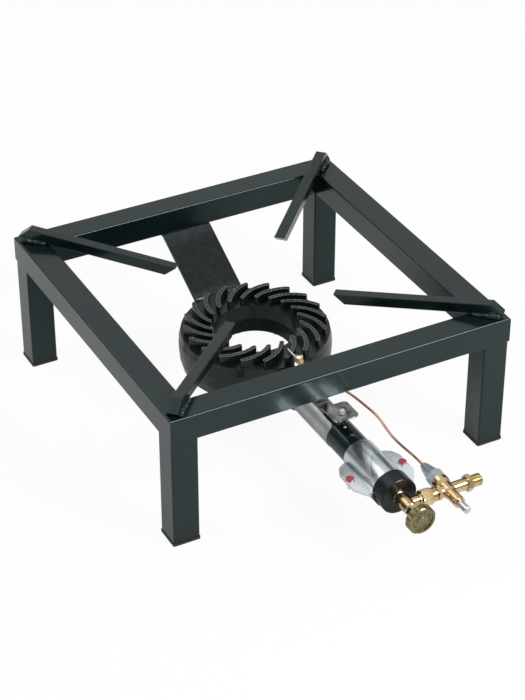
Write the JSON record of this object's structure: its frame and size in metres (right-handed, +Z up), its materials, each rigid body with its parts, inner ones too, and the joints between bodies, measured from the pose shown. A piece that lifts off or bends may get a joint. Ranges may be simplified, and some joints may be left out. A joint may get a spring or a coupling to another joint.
{
  "type": "single burner gas hob",
  "caption": "Low square steel stool hob with a cast ring burner, long mixing tube and brass valve train with a flame failure button.",
  "frame": {"origin": "on the floor, under the burner's vertical axis, which is the middle of the square frame", "axes": "+Z up; -Y the front, where the valves stand; +X the right of a cook who faces the valves"},
  "size_m": [0.4, 0.5621, 0.1739],
  "materials": {
    "frame_paint": "gloss",
    "foot_plastic": "matte",
    "burner_iron": "satin",
    "dark_steel": "satin",
    "plated_steel": "satin",
    "bracket_paint": "satin",
    "galvanised": "satin",
    "seal_red": "gloss",
    "cup_black": "gloss",
    "brass": "satin",
    "knob_brass": "satin",
    "packing": "matte",
    "seal_rubber": "matte",
    "copper": "satin",
    "rod_steel": "satin"
  },
  "bodies": {
    "hob": {"rail_front": "frame_paint", "rail_right": "frame_paint", "rail_back": "frame_paint", "rail_left": "frame_paint", "leg_front_left": "frame_paint", "leg_front_right": "frame_paint", "leg_back_right": "frame_paint", "leg_back_left": "frame_paint", "foot_front_left": "foot_plastic", "foot_front_right": "foot_plastic", "foot_back_right": "foot_plastic", "foot_back_left": "foot_plastic", "pot_bar_front_left": "frame_paint", "pot_bar_front_right": "frame_paint", "pot_bar_back_right": "frame_paint", "pot_bar_back_left": "frame_paint", "bar_welds": "frame_paint", "rear_strap": "frame_paint", "strap_welds": "frame_paint", "strap_screws": "plated_steel", "burner_ring": "burner_iron", "burner_base": "burner_iron", "ring_screws": "dark_steel", "mixing_tube": "frame_paint", "front_bracket": "bracket_paint", "bracket_boss": "frame_paint", "bracket_screw": "plated_steel", "sleeve_upper": "galvanised", "sleeve_lower": "galvanised", "clamp_screws": "plated_steel", "clamp_nuts": "plated_steel", "screw_seals": "seal_red", "end_cup": "cup_black", "injector_washer": "plated_steel", "injector": "brass", "valve_body": "brass", "gland_nut": "brass", "gland_packing": "packing", "union_nut": "brass", "outlet_nipple": "brass", "safety_body": "brass", "inlet_connector": "brass", "button_guide": "brass", "button_spring": "plated_steel", "magnet_nut": "plated_steel", "magnet_core": "dark_steel", "lead_nut": "copper", "thermocouple_lead": "copper", "thermocouple_bush": "brass", "thermocouple_nut": "brass", "thermocouple_tip": "rod_steel", "tip_bracket": "plated_steel", "tip_bracket_screw": "plated_steel"},
    "needle_carrier": {"needle": "plated_steel"},
    "tap": {"spindle": "brass", "knob": "knob_brass"},
    "push_button": {"button": "plated_steel", "safety_disc": "seal_rubber"}
  },
  "joints": [
    {"name": "needle_lift", "type": "slide", "parent": "hob", "child": "needle_carrier", "axis": [0, -1, 0], "range_m": [0, 0.0015]},
    {"name": "knob_turn", "type": "hinge", "parent": "hob", "child": "tap", "pos_m": [0, -0.351, 0.069], "axis": [0, -1, 0], "range_deg": [0, 540]},
    {"name": "button_press", "type": "slide", "parent": "hob", "child": "push_button", "axis": [0, 1, 0], "range_m": [0, 0.005], "stiffness_N_per_m": 900, "deforming": ["button_spring"]}
  ],
  "couplings": [
    {"joint": "needle_lift", "follows": "knob_turn", "m_per_rad": 0.00015914}
  ]
}
